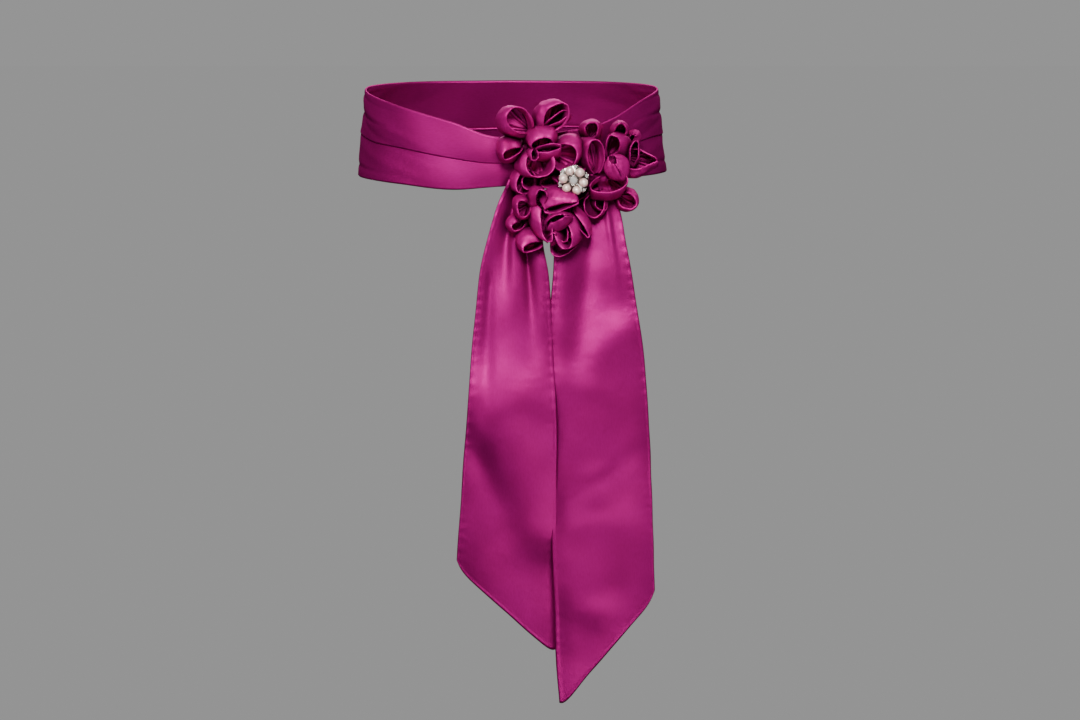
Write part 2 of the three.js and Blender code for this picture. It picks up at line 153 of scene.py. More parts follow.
def clothWall(surface, half, closed=False, rim=None, threadsDown=False):
    # A sheet given by its middle surface becomes a closed wall. Both sides stand
    # off it by half its thickness, which falls to nothing at each free edge
    # along a quarter circle, so the edge is round and the two sides meet there.
    # The uv pair counts decimetres along the threads and across them.
    if closed:
        along = np.roll(surface, -1, 0) - np.roll(surface, 1, 0)
    else:
        along = np.gradient(surface, axis=0)
    normal = unit(np.cross(along, np.gradient(surface, axis=1)))
    fromStart = walked(surface, 0)
    fromLow = walked(surface, 1)
    edge = np.minimum(fromLow, fromLow[:, -1:] - fromLow)
    if not closed:
        edge = np.minimum(edge, np.minimum(fromStart, fromStart[-1:] - fromStart))
    if rim is not None:
        half = half + rim(edge)
    inside = 1 - np.clip(edge / half, 0, 1)
    offset = (half * np.sqrt(np.maximum(1 - inside ** 2, 0)))[..., None] * normal
    free = edge < 1e-9
    front = np.arange(free.size).reshape(free.shape)
    back = front.copy()
    back[~free] = free.size + np.arange((~free).sum())
    points = np.concatenate([(surface + offset).reshape(-1, 3), (surface - offset)[~free]])
    faces = np.concatenate([gridFaces(front, closed), gridFaces(back, closed)[:, ::-1]])
    run = fromStart[:, surface.shape[1] // 2, None] + 0 * fromLow
    uv = np.stack([fromLow, run] if threadsDown else [run, fromLow], -1)
    return points, faces, np.concatenate([uv.reshape(-1, 2), uv[~free]]) / 100


def joinWalls(walls):
    # several walls as one, with the later ones' faces counted on
    starts = np.cumsum([0] + [len(points) for points, faces, uv in walls])
    points, faces, uv = zip(*walls)
    faces = [part + start for part, start in zip(faces, starts)]
    return np.concatenate(points), np.concatenate(faces), np.concatenate(uv)


def dropLoose(piece):
    # removes the points that no face uses
    mesh = piece.data
    used = np.zeros(len(mesh.vertices), bool)
    corner = np.empty(len(mesh.loops), np.int32)
    mesh.loops.foreach_get("vertex_index", corner)
    used[corner] = True
    tool = bmesh.new()
    tool.from_mesh(mesh)
    tool.verts.ensure_lookup_table()
    bmesh.ops.delete(tool, geom=[tool.verts[i] for i in np.flatnonzero(~used)], context="VERTS")
    tool.to_mesh(mesh)
    tool.free()


def facesOut(piece):
    # turns all faces round if the closed mesh has a negative volume
    mesh = piece.data
    mesh.calc_loop_triangles()
    corners = np.empty(len(mesh.loop_triangles) * 3, np.int32)
    mesh.loop_triangles.foreach_get("vertices", corners)
    place = np.empty(len(mesh.vertices) * 3)
    mesh.vertices.foreach_get("co", place)
    t = place.reshape(-1, 3)[corners.reshape(-1, 3)]
    if np.einsum("ij,ij->i", t[:, 0], np.cross(t[:, 1], t[:, 2])).sum() < 0:
        mesh.flip_normals()


def finishPiece(piece, material, nodes):
    facesOut(piece)
    piece.data.materials.append(material)
    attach(piece, "root")
    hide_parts(*nodes)
    return piece


# Shader maths

class Socket:
    # a shader value whose sums and products add their own Math nodes
    def __init__(self, nodes, socket):
        self.nodes = nodes
        self.socket = socket

    def maths(self, operation, first, second):
        return self.nodes.node("ShaderNodeMath", dict(operation=operation), {0: first, 1: second})

    def __add__(self, other):
        return self.maths("ADD", self, other)

    def __sub__(self, other):
        return self.maths("SUBTRACT", self, other)

    def __rsub__(self, other):
        return self.maths("SUBTRACT", other, self)

    def __mul__(self, other):
        return self.maths("MULTIPLY", self, other)

    def __pow__(self, other):
        return self.maths("POWER", self, other)

    __radd__ = __add__
    __rmul__ = __mul__


class Nodes:
    # the nodes of one material or of the world
    def __init__(self, tree):
        self.tree = tree

    def node(self, kind, settings=None, values=None, out=0):
        made = self.tree.nodes.new(kind)
        for name, value in (settings or {}).items():
            if name == "stops":
                self.setStops(made.color_ramp, value)
            else:
                setattr(made, name, value)
        for key, value in (values or {}).items():
            self.put(made.inputs[key], value)
        return Socket(self, made.outputs[out])

    def setStops(self, ramp, stops):
        # a ramp starts with two stops, and the others are added
        for i, (place, colour) in enumerate(stops):
            stop = ramp.elements[i] if i < 2 else ramp.elements.new(place)
            stop.position = place
            stop.color = colour

    def put(self, target, value):
        if isinstance(value, Socket):
            self.tree.links.new(value.socket, target)
        else:
            target.default_value = value


class Sheet(Nodes):
    # one material
    def __init__(self, name, **constants):
        self.material = bpy.data.materials.new(name)
        self.material.use_nodes = True
        super().__init__(self.material.node_tree)
        self.shader = self.tree.nodes["Principled BSDF"]
        for socket, value in constants.items():
            self.shader.inputs[socket.replace("_", " ")].default_value = value

    def feed(self, name, value):
        self.put(self.shader.inputs[name], value)

    def place(self):
        # Object coordinates
        return self.node("ShaderNodeTexCoord", out=3)

    def noise(self, vector, scale, detail, rough):
        values = {"Vector": vector, "Scale": scale, "Detail": detail, "Roughness": rough}
        return self.node("ShaderNodeTexNoise", None, values)

    def stretched(self, vector, scale):
        return self.node("ShaderNodeMapping", None, {"Vector": vector, "Scale": scale})

    def openness(self, depth):
        # 1 where the surface lies open, less where it is closed in within the depth; the materials paint
        # shade by it
        return self.node("ShaderNodeAmbientOcclusion", dict(samples=6), {"Distance": depth}, out=1)

    def mixed(self, share, first, second):
        made = self.tree.nodes.new("ShaderNodeMix")
        made.data_type = "RGBA"
        self.put(made.inputs[0], share)
        self.put(made.inputs[6], first)
        self.put(made.inputs[7], second)
        return Socket(self, made.outputs[2])

    def bump(self, height, distance, strength, under=None):
        values = {"Height": height, "Distance": distance, "Strength": strength}
        if under is not None:
            values["Normal"] = under
        return self.node("ShaderNodeBump", None, values)


# the last colour of each look is painted shade, laid where the cloth is closed in
satinLook = dict(
    base=(0.375, 0.0036, 0.158, 1),
    deep=(0.28, 0.0028, 0.092, 1),
    bright=(0.46, 0.0046, 0.235, 1),
    paintedShade=(0.04, 0.0008, 0.011, 1),
)
# the loops are the same satin with its colours painted lighter: painted light on their walls
loopLookPaintedLight = dict(
    base=(0.52, 0.0046, 0.215, 1),
    deep=(0.40, 0.0036, 0.135, 1),
    bright=(0.63, 0.0064, 0.30, 1),
    paintedShade=(0.035, 0.0007, 0.010, 1),
)
# how much finer each pattern is along the threads and across them
weave = dict(threads=(9, 260, 1), floats=(60, 330, 1), streaks=(2.6, 9, 1))


def satin(name, look, metallic, roughness, stretch, depth):
    # A warp-faced satin: fine threads run along the ribbon, their floats catch the
    # light, wider streaks darken it here and there, and slow noise shifts the dye
    # a little. Where the cloth is closed in, shade is painted into its colour, which sinks to a dark
    # wine.
    sheet = Sheet(name, Metallic=metallic, Specular_IOR_Level=0.25,
                  Specular_Tint=(1.0, 0.25, 0.7, 1), Anisotropic=stretch)
    cloth = sheet.node("ShaderNodeUVMap", dict(uv_map="cloth"))
    place = sheet.place()
    threads = sheet.noise(sheet.stretched(cloth, weave["threads"]), 9, 2, 0.6)
    floats = sheet.noise(sheet.stretched(cloth, weave["floats"]), 7, 1, 0.5)
    streaks = sheet.noise(sheet.stretched(cloth, weave["streaks"]), 9, 3, 0.75)
    cloudy = sheet.noise(place, 22, 3, 0.55)
    creases = sheet.noise(place, 55, 4, 0.55)
    tone = sheet.mixed((cloudy - 0.35) * 1.2, look["deep"], look["bright"])
    tone = sheet.mixed(0.55, tone, look["base"])
    tone = sheet.mixed((threads - 0.5) * 0.5 + 0.25, tone, look["bright"])
    tone = sheet.mixed((streaks - 0.42) * 1.6, tone, look["deep"])
    # painted shade: the colour sinks to a dark wine where the cloth is closed in
    sheet.feed("Base Color", sheet.mixed(sheet.openness(depth) ** 1.5, look["paintedShade"], tone))
    sheet.feed("Roughness", roughness + 0.1 * (cloudy - 0.5) + 0.12 * (floats - 0.5))
    creased = sheet.bump(creases, 0.0012, 0.25)
    sheet.feed("Normal", sheet.bump(threads * 0.6 + floats * 0.4, 0.00012, 0.5, creased))
    return sheet.material


satinMaterial = satin("satin", satinLook, metallic=0.8, roughness=0.45, stretch=0.65, depth=0.010)
# the loops' satin has painted light: its colours are lighter than the band's and tails'
loopSatinPaintedLight = satin("satin_loops_painted_light", loopLookPaintedLight, metallic=0.62, roughness=0.52, stretch=0.3, depth=0.009)
print("satin made")


# The body that the cloth lies round

waist = dict(halfWidth=125.5, halfDepth=97.0, roundness=2.3)
girth = table("height halfWidth halfDepth", [
    (60, waist["halfWidth"] - 5, waist["halfDepth"] - 5),
    (0, waist["halfWidth"], waist["halfDepth"]),
    (-50, waist["halfWidth"] + 7, waist["halfDepth"] + 7),
    (-111, waist["halfWidth"] + 20, waist["halfDepth"] + 15),
    (-200, waist["halfWidth"] + 37, waist["halfDepth"] + 24),
    (-270, waist["halfWidth"] + 43, waist["halfDepth"] + 27),
    (-500, waist["halfWidth"] + 43, waist["halfDepth"] + 27),
])


def roundBody(angle, height, out):
    # superellipse: x = a sin^(2/n), y = -b cos^(2/n), angle 0 is the front
    power = 2 / waist["roundness"]
    a = through(girth, "height", "halfWidth", height) + out
    b = through(girth, "height", "halfDepth", height) + out
    x = a * np.sign(np.sin(angle)) * np.abs(np.sin(angle)) ** power
    y = -b * np.sign(np.cos(angle)) * np.abs(np.cos(angle)) ** power
    return np.stack([x, y, height + 0 * x], -1)


def frontOfBody(x, height, out):
    # the same superellipse solved for y at a given x
    a = through(girth, "height", "halfWidth", height)
    b = through(girth, "height", "halfDepth", height)
    share = 1 - np.abs(x / a) ** waist["roundness"]
    return -b * share ** (1 / waist["roundness"]) - out


# Waist band

band = dict(
    around=500, half=0.85, upperPuff=0.6, lowerPuff=0.5,
    crease=0.48,      # where the two pleats meet, as a share of the band's height
    lap=0.9, lapEdge=0.004, lapFade=0.45,
    groove=0.7, grooveWidth=0.007, grooveUnder=0.006,
    slant=0.006, slantFrom=70,
    inset=0.6,        # how far the cloth's middle lies inside the body's outline
    tuck=4.2,         # how far the lower edge is drawn in at the front
    widening=5,       # how much wider than the waist the body is at the lower edge
    rows=((0, 0.45, 36), (0.45, 0.51, 24), (0.51, 1, 38)),
    flat=(0.09, 0.74),
)
bandEdges = table("angle top bottom", [
    (-180, 42, -36), (-135, 41, -36), (-90, 37, -36), (-66, 31, -37.5), (-43, 22.7, -40),
    (-19, 11, -43.7), (-3, -0.8, -41), (20, 4.7, -37.5), (31, 8.6, -36.5), (61, 29.6, -34),
    (90, 37, -33), (135, 41, -35), (180, 42, -36),
])
# at the sides: place and width are shares of the band's height
sideWrinkles = table("place width height", [(0.35, 0.07, 0.8), (0.8, 0.06, 0.7), (0.62, 0.05, -0.6)])
sideCreases = table("place width height", [(0.73, 0.03, -1.1), (0.93, 0.02, -0.7), (0.14, 0.03, -0.8)])
sideRipples = table("height around across", [(0.4, 5, 9)])
slowRipples = table("height around across", [(0.2, 13, 5)])


def bandBottom(x):
    # height of the band's lower edge at x, on the front half of the body
    sine = (np.abs(x) / (waist["halfWidth"] + band["widening"])) ** (waist["roundness"] / 2)
    return through(bandEdges, "angle", "bottom", np.degrees(np.arcsin(sine)) * np.sign(x))


def pleats(share):
    # a low arch in each of two pleats, and a lap where the upper one lies over the lower
    crease = band["crease"]
    lower = share < crease
    part = np.where(lower, share / crease, (share - crease) / (1 - crease))
    puff = np.where(lower, band["lowerPuff"], band["upperPuff"]) * np.sin(pi * part)
    above = share - crease
    lap = band["lap"] * ease(-band["lapEdge"], band["lapEdge"], above)
    lap = lap * (1 - 0.6 * ease(0, band["lapFade"], above))
    return puff + lap - band["groove"] * bump(above, -band["grooveUnder"], band["grooveWidth"])


def wrinkles(turn, share):
    # slanted hills and sharper creases that deepen towards the sides, and a ripple all round
    side = np.abs(np.sin(turn)) ** 3
    edgeOn = np.abs(np.sin(turn)) ** 9
    slant = share - band["slant"] * (np.abs(np.degrees(turn)) - band["slantFrom"])
    soft = side * (hills(sideWrinkles, slant) + ripples(sideRipples, turn, share))
    sharp = edgeOn * hills(sideCreases, share, 0.03 * np.sin(2 * turn))
    return soft + sharp + ripples(slowRipples, turn, share)


def makeBand():
    # Height runs between the band's two edges, and the distance from the body
    # is that of the pleats and wrinkles, less the tuck at the front.
    turn = np.linspace(-pi, pi, band["around"], endpoint=False)[:, None]
    share = np.unique(np.concatenate([np.linspace(*row) for row in band["rows"]]))[None, :]
    top = through(bandEdges, "angle", "top", np.degrees(turn))
    bottom = through(bandEdges, "angle", "bottom", np.degrees(turn))
    tuck = band["tuck"] * np.clip(np.cos(turn), 0, 1) * (1 - share)
    out = pleats(share) + wrinkles(turn, share) - tuck - band["inset"]
    wobble = (0.012 * np.sin(3 * turn + 0.7) + 0.008 * np.sin(7 * turn)) * np.sin(pi * share)
    height = bottom + (top - bottom) * (share + wobble)
    wall = clothWall(roundBody(turn, height, out), band["half"], closed=True)
    piece = finishPiece(meshFrom("sash_band", *wall), satinMaterial, ["waist_band"])
    return piece


bandPiece = makeBand()
print("band made")


# Tails

tail = dict(
    across=90, down=300, half=0.72,
    over=7.0,         # how far the top reaches up over the band's lower edge
    lift=2.6,         # how far it stands in front of the band there
    clear=0.4,        # gap between the body and the cloth's middle
    hemWidth=3.0, hemRise=0.3,
    pucker=0.16,      # height of the ripples along the sewn edges
    crumple=0.6, crumpleLength=80,
)
foldColumns = "acrossTop acrossEnd start stop width height"
# broad soft hills of the hanging cloth: place, half lengths along and across, slant and height
drapeColumns = "x z long short slant height"
leftTail = dict(
    node="left_tail", flat=(0.085, 0.38), outer=-350, inner=-424, corner=6, swing=-7, seed=3,
    edges=table("height left right", [
        (-36, -2, 27), (-56, -11, 27), (-84, -19, 26), (-111, -25, 30.5), (-155, -30, 33.5),
        (-212, -34.5, 36.5), (-260, -38.5, 37.5), (-345, -44.5, 37.5), (-430, -48, 37.5),
    ]),
    folds=table(foldColumns, [
        (0.66, 0.76, 0.02, 0.42, 0.06, -5.0),
        (0.3, 0.4, -0.1, 0.36, 0.1, -6.0),
        (0.48, 0.5, 0.1, 0.36, 0.06, 1.8),
        (0.05, 0.06, -0.1, 0.55, 0.08, 1.5),
        (0.15, 0.22, 0.16, 0.72, 0.07, -2.4),
        (0.9, 0.93, 0.05, 0.5, 0.07, 2),
        (1, 1, 0.3, 1.6, 0.12, 1.4),
    ]),
    drape=table(drapeColumns, [
        (-4, -220, 60, 44, -20, 8.8),
        (-23, -266, 45, 11, -67, -2.6),
        (-20, -190, 36, 11, -85, -1.6),
        (20, -272, 26, 20, 0, 2.5),
        (-26, -335, 30, 36, -20, 4.5),
        (24, -312, 26, 36, 5, 5.8),
    ]),
)
rightTail = dict(
    node="right_tail", flat=(0.085, 0.42), outer=-465, inner=-374, corner=6, swing=10, seed=5,
    edges=table("height left right", [
        (-36, 34, 79), (-59, 35.5, 88), (-84, 35, 93), (-111, 34, 98), (-139, 32, 102.5),
        (-172, 31, 107.5), (-212, 31, 111), (-293, 32, 115), (-377, 35, 117.5), (-424, 36.5, 118.3),
        (-470, 40, 119),
    ]),
    folds=table(foldColumns, [
        (0, 0, 0.05, 1.6, 0.09, -2.6),
        (1.3, 1.3, -0.2, 2.2, 0.5, 16),
        (0.78, 0.8, -0.1, 0.34, 0.035, 2.2),
        (0.56, 0.22, 0.02, 0.52, 0.12, -3),
        (0.1, 0.12, 0.05, 0.45, 0.1, 1.8),
    ]),
    drape=table(drapeColumns, [
        (60, -214, 44, 40, -10, 2.8),
        (89, -159, 28, 15, 42, 1.3),
        (104, -250, 18, 24, 30, 2),
        (72, -278, 34, 19, 38, 4.2),
        (70, -371, 34, 40, 38, 8),
    ]),
)


def drapeHeight(drape, x, z):
    # each hill is a Gaussian with its own slanted axes
    height = 0 * x
    for middleX, middleZ, long, short, slant, high in zip(*drape.values()):
        slant = np.radians(slant)
        dx, dz = x - middleX, z - middleZ
        along = (dx * np.cos(slant) + dz * np.sin(slant)) / long
        aside = (dz * np.cos(slant) - dx * np.sin(slant)) / short
        height = height + high * np.exp(-along ** 2 - aside ** 2)
    return height


def foldHeight(folds, across, down):
    # each fold is a hill whose middle moves across as it runs down; it widens on the way
    # and is faded at its ends
    height = 0 * across * down
    for top, end, start, stop, wide, high in zip(*folds.values()):
        t = (down - start) / (stop - start)
        shown = np.clip(t, 0, 1)
        fade = ease(0, 0.2, t) * (1 - ease(0.3, 1, t))
        height = height + high * fade * bump(across, top + (end - top) * shown, wide * (1 + 0.7 * shown))
    return height


def puckers(across, height, phase):
    # ripples close to the two sewn edges, stronger in some stretches than in others
    sides = bump(across, 0, 0.07) + bump(across, 1, 0.07)
    uneven = 0.35 + 0.65 * np.sin(height / 31 + phase) ** 2
    return tail["pucker"] * sides * uneven * np.sin(height / 1.35 + 3 * np.sin(height / 23))


def hem(edge):
    # the turned edge is sewn down, so the cloth is thicker in a strip beside it
    return tail["hemRise"] * (1 - ease(tail["hemWidth"] - 0.5, tail["hemWidth"] + 0.5, edge))


def makeTail(name, side):
    # Height runs from the band's lower edge to a slanted cut with round corners,
    # and the distance to the right lies between the two edges at that height.
    even = np.linspace(0, 1, tail["across"])[:, None]
    across = 0.75 * even + 0.125 * (1 - np.cos(pi * even))  # closer steps beside the edges
    down = np.linspace(0, 1, tail["down"])[None, :]
    edges = side["edges"]
    corner = side["corner"] * np.abs(2 * across - 1) ** 12
    lowest = side["outer"] + (side["inner"] - side["outer"]) * across + corner
    joint = bandBottom(edges["left"][0] + (edges["right"][0] - edges["left"][0]) * across)
    highest = joint + tail["over"]
    height = highest + (lowest - highest) * down
    left = through(edges, "height", "left", height)
    right = through(edges, "height", "right", height)
    x = left + (right - left) * across
    out = foldHeight(side["folds"], across, down) + side["swing"] * down ** 2
    out = out + drapeHeight(side["drape"], x, height) * ease(0, 0.2, down)
    out = out + puckers(across, height, side["seed"])
    out = out + tail["lift"] * ease(-5, 1.5, height - joint) + tail["clear"]
    surface = np.stack([x, frontOfBody(x, height, out), height], -1)
    surface = crumple(surface, tail["crumple"], tail["crumpleLength"], side["seed"])
    wall = clothWall(surface, tail["half"], rim=hem, threadsDown=True)
    piece = finishPiece(meshFrom(name, *wall), satinMaterial, [side["node"]])


makeTail("sash_left_tail", leftTail)
makeTail("sash_right_tail", rightTail)
print("tails made")


# Ribbon flowers

flowers = {
    1: dict(x=29.2, y=-101.5, z=-14, yaw=6, pitch=0),
    2: dict(x=82.2, y=-91, z=-28, yaw=10, pitch=2),
    3: dict(x=32.4, y=-113, z=-69, yaw=5, pitch=-6),
}
petal = dict(
    around=104, deep=33, half=0.5,
    ribbon=0.022,     # width of the flat ribbon in metres
    mouth=0.035,      # share of the loop's turn that is open at its root
    seam=0.9,         # half of the root's width, where the two ends are sewn together
    floor=0.28,       # share of the ribbon's width that lies as the floor of the hollow
    gathered=0.06,    # how far the loop is drawn in at its gathers
    rise=0.1,         # height of the floor's outer border
    roll=1.5,         # angle through which the wall turns over towards the rim
    lip=1.7,
    square=1.12,      # above 1 the wall's bend is flatter than a circle's
    gathers=(8, 13),  # waves round the loop at its gathers
    pleats=2.6,       # waves across the ribbon beside the root
    fold=0.9,         # height of those waves on a loop of foldWidth or more
    foldWidth=14.4,
    puff=0.25,        # half of the space between the doubled ribbon's layers
    crumple=0.32, crumpleLength=11, seed=40,
)
# loops whose doubled ribbon stands apart into a soft roll
puffy = {(2, 1): 0.8, (2, 2): 0.8, (2, 9): 0.9, (3, 6): 0.8}
petalColumns = "flower number x z angle reach width pinch point foot spread shiftX shiftZ low high belly"
petalRows = [
    (1, 1, -12.5, 18.5, 139, 25, 16, 0.2, 0, 1, 1.05, -5.5, -2, -2, 16, 1.4),
    (1, 2, 0, 18.5, 58, 25, 15.5, 0.2, 0.1, 1, 1.05, -6.5, 1, -2, 16, 1.3),
    (1, 2, -4, 22.5, 32, 24, 4, 0.4, 0, 1, 1.5, 1.5, -3, 0, 14, 0.5),
    (1, 3, -22, 4, -159, 16, 3.5, 0.3, 0, 1.1, 4, 0.5, 3.5, -2, 15, 1.6),
    (1, 4, -5, 0, 100, 12, 14, 0.2, 0, 1.1, 1.2, 1.5, 6.5, 2, 19, 2.1),
    (1, 5, 2.5, 1, -26, 19, 20, 0.1, 0, 0.95, 0.95, 6, 6, -2, 20, 1.8),
    (1, 6, -8, 3, -81, 21, 21, 0, 0, 0.9, 1, -6.5, -1.5, 0, 22, 1),
    (1, 7, -11, 4.5, 9, 20, 4, 0.1, 0, 1, 1.4, 0, -6.5, 6, 22, 0.8),
    (1, 7, -11, 3.5, -96, 8, 4, 0.2, 0.2, 1, 1.2, -2, 1, 8, 21, 0.5),
    (1, 8, -13.5, -14, -116, 18.5, 13.5, 0.2, 0, 1, 1.05, -2.5, 2.5, -2, 14, 1),
    (1, 8, -12, -17.5, -125, 12.5, 9, 0.1, 0, 0.95, 1, 1, 2.5, -2, 13, 0.5),
    (1, 9, 1, -20, -96, 8, 11.5, 0.1, 0, 1, 1.2, 1.5, 3, -2, 14, 0.5),
    (2, 1, -18.5, 25, 97, 14, 8, 0.5, 0, 1, 1.2, 2, -1, -3, 14, 1.9),
    (2, 2, 4.6, 26.5, 92, 11, 7, 0.1, 0.1, 1, 1.3, 1.5, 0, -3, 13, 1.3),
    (2, 3, 13.5, 20.5, 62, 8, 0.6, 0.2, 0, 1, 1.2, 3, 0, -10, -2, 2.8),
    (2, 4, -13.5, -2.5, 99, 27.5, 12, 0.1, 0, 1, 1.05, -5.5, 1, 0, 20, 1),
    (2, 5, -5, 8.5, 84, 20, 9, 0.1, 0, 1, 1.3, 9, -1, -5, 19, 2.4),
    (2, 5, 13.5, 2.5, 84, 22.5, 4.5, 0.3, 0.3, 1, 1.5, 1.5, -1, 0, 18, 0.3),
    (2, 6, 8, 10.5, -5, 24, 14, 0, 0.4, 1, 1.2, 1, -4, 1, 14, 1.6),
    (2, 7, -5.5, 12, -62, 6.5, 2.8, 0.1, 0.3, 1.2, 1.5, 5, -7, 14.5, 22, 4.4),
    (2, 8, -8, -2.5, -75, 13.5, 30.5, 0, 0, 1, 0.8, 0, -7, 0, 22, 1),
    (2, 9, 5.5, -20, -49, 12.5, 10, 0.1, 0, 1, 1.1, 1, 1.5, -4, 15, 2.2),
    (2, 10, -13, -16.5, -115, 22, 14.5, 0.2, 0, 1, 1, 3, 1, -1, 15, 1),
    (2, 10, -8.5, -20, -106, 12.5, 8, 0.2, 0, 1, 1.1, -1.5, 1, 0, 12, 0.5),
    (2, 11, -22.5, -10, -129, 19.5, 8, 0, 0.2, 1, 1.2, 1.5, 3, -1, 12, 0.5),
    (3, 1, -6, 10.5, 18, 26, 3.5, 0.1, 0.5, 1, 3.6, -2, 6.5, 3, 20, 1),
    (3, 2, -3, 4.5, 28, 12, 1.4, 0.1, 0.2, 1.1, 1.5, 1.5, -4.5, 12, 22.5, 3.3),
    (3, 3, -6, 12.5, -82, 25, 6.5, 0, 0, 0.95, 1, -6, 3, 0, 20, 2),
    (3, 3, -2.5, -12, 62, 7, 2.6, 0.1, 0, 1, 1.4, 1.5, -2.5, 6, 19, 1.3),
    (3, 4, 4, 4.5, -76, 24, 11, 0, 0, 0.95, 1, 10, 3, 0, 20, 1),
    (3, 4, 6.5, -1.5, -73, 11, 7, 0, 0, 1, 1.1, -1.5, 1, 0, 18, 0.5),
    (3, 5, 15.5, 9, -55, 22, 2, 0.3, 0.2, 1, 2.6, 2, 2.5, -2, 14, 1.2),
    (3, 6, -18, 15, -164, 10.5, 11, 0.1, 0, 1, 1.1, 0, -0.5, -2, 14, 1.6),
    (3, 7, -7, -16, -167, 16.5, 4, 0, 0, 1.1, 3.4, -2, 5, -2, 15, 1),
    (3, 8, 6.5, -13, -65, 12.5, 19, 0, 0, 1, 1, 1.5, 2.5, -3, 12, 0.5),
    (3, 9, -22, 1, -150, 10, 3.5, 0.1, 0, 1, 1.4, 0, 1.5, -5, 5, 2.6),
    (3, 10, -9.5, 15.5, 84, 14, 6.5, 0, 0, 1, 1.05, -3.5, -1.5, 0, 17, 1.6),
]
petals = [dict(zip(petalColumns.split(), row)) for row in petalRows]


def flowerDirections(flower):
    turn, tilt = np.radians(flower["yaw"]), np.radians(flower["pitch"])
    right = np.array([np.cos(turn), np.sin(turn), 0])
    out = np.array([np.sin(turn) * np.cos(tilt), -np.cos(turn) * np.cos(tilt), np.sin(tilt)])
    return right, -np.cross(right, out), out


def petalSurface(row, seed):
    # Round the loop (turn a) its length runs as (1 - cos a) / 2 and its width as sin a. Across the
    # ribbon (t) it spreads from the gathers as the hollow's floor, then rises on a quarter turn
    # (angle phi), so that it stands straight at the floor and faces the front at its rolled rim.
    # Folds fan out of the gathers: waves round the loop that fade up the wall.
    wave = np.random.default_rng(seed).uniform(0, 2 * pi, 8)
    flower = flowers[row["flower"]]
    right, up, out = flowerDirections(flower)
    heading = np.radians(row["angle"])
    ahead = right * np.cos(heading) + up * np.sin(heading)
    aside = up * np.cos(heading) - right * np.sin(heading)
    turn = np.linspace(0, 1, petal["around"])[:, None]
    turn = turn - 0.05 * np.sin(4 * pi * turn) / (2 * pi)  # closer steps at the root and the tip
    a = 2 * pi * (petal["mouth"] + (1 - 2 * petal["mouth"]) * turn)
    t = np.linspace(0, 1, petal["deep"])[None, :]
    floor = np.clip(t / petal["floor"], 0, 1)
    phi = petal["roll"] * np.clip((t - petal["floor"]) / (1 - petal["floor"]), 0, 1)
    back = np.abs(np.cos(phi)) ** petal["square"]
    drawn = petal["gathered"] + (1 - petal["gathered"]) * np.sin(pi / 2 * floor) ** 0.8
    lip = petal["lip"] * row["belly"] * back
    foldHigh = petal["fold"] * min(1, row["width"] / petal["foldWidth"])

    share = (1 - np.cos(a)) / 2
    sine = np.sin(a) * np.sin(a / 2) ** (2 * row["pinch"]) * np.abs(np.cos(a / 2)) ** (2 * row["point"])
    sine = sine / np.abs(sine).max()
    uneven = 1 + share * (0.04 * np.sin(2 * a + wave[0]) + 0.03 * np.sin(3 * a + wave[1]))
    length = row["reach"] * share * uneven * (row["foot"] + (1 - row["foot"]) * (1 - back))
    length = (length + lip * (2 * share - 1)) * drawn
    width = row["width"] / 2 * sine * uneven * (row["spread"] + (1 - row["spread"]) * (1 - back))
    width = (width + lip * sine + petal["seam"] * np.sign(sine)) * drawn
    strip = (1 - share) ** 1.6 * np.sin(2 * pi * petal["pleats"] * t + wave[6] * np.sign(sine))
    width = width + foldHigh * strip * np.clip(np.abs(sine) * 8, 0, 1) * np.sign(sine)

    coarse, fine = petal["gathers"]
    folds = np.sin(coarse * a + wave[4]) + 0.6 * np.sin(fine * a + wave[5])
    folds = folds * foldHigh * (1 - t) ** 1.3 * np.sin(pi * np.clip(0.12 + t, 0, 1))
    full = 0.45 + 0.55 * np.sin(a / 2) ** 0.9
    rise = petal["rise"] * floor ** 2.5 + (1 - petal["rise"]) * np.sin(phi) ** petal["square"]
    height = row["low"] + (row["high"] - row["low"]) * rise * full + folds
    height = height + t * (0.5 * np.sin(2 * a + wave[2]) + 0.35 * np.sin(5 * a + wave[3]))

    root = np.array([flower["x"], flower["y"], flower["z"]]) + row["x"] * right + row["z"] * up
    moved = (back * drawn)[..., None] * (row["shiftX"] * right + row["shiftZ"] * up)
    surface = root + moved + length[..., None] * ahead + width[..., None] * aside
    return doubled(surface + height[..., None] * out, row, a, t, seed)


def doubled(surface, row, a, t, seed):
    # the ribbon's inner layer stands off the outer one, most at the middle of the loop
    puff = puffy.get((row["flower"], row["number"]), petal["puff"])
    apart = np.sin(pi * np.clip((t - 0.1) / 0.9, 0, 1)) ** 0.8 * np.sin(a / 2) * puff
    normal = unit(np.cross(np.gradient(surface, axis=0), np.gradient(surface, axis=1)))
    away = surface - surface.mean(0, keepdims=True)
    outward = np.sign((normal * away).sum(-1).mean())
    surface = surface - (outward * apart)[..., None] * normal
    surface = crumple(surface, petal["crumple"], petal["crumpleLength"], seed)
    return surface, petal["half"] + apart


def clothArea(surface):
    # the sum of the grid's cells, in square metres
    du = np.diff(surface, axis=0)[:, :-1]
    dv = np.diff(surface, axis=1)[:-1]
    return np.linalg.norm(np.cross(du, dv), axis=-1).sum() * mm * mm


def makePetal(flower, number):
    # some loops have a second, inner ribbon, sewn in with the first
    walls, area = [], 0
    for i, row in enumerate(petals):
        if (row["flower"], row["number"]) == (flower, number):
            surface, half = petalSurface(row, petal["seed"] + i)
            walls.append(clothWall(surface, half))
            area += clothArea(surface)
    piece = meshFrom(f"ribbon_loop_{flower}_{number:02d}", *joinWalls(walls))
    finishPiece(piece, loopSatinPaintedLight, [f"flower_{flower}_petal_{number:02d}"])


for flower, number in sorted({(row["flower"], row["number"]) for row in petals}):
    makePetal(flower, number)
print("petals made")


# Knot behind the brooch

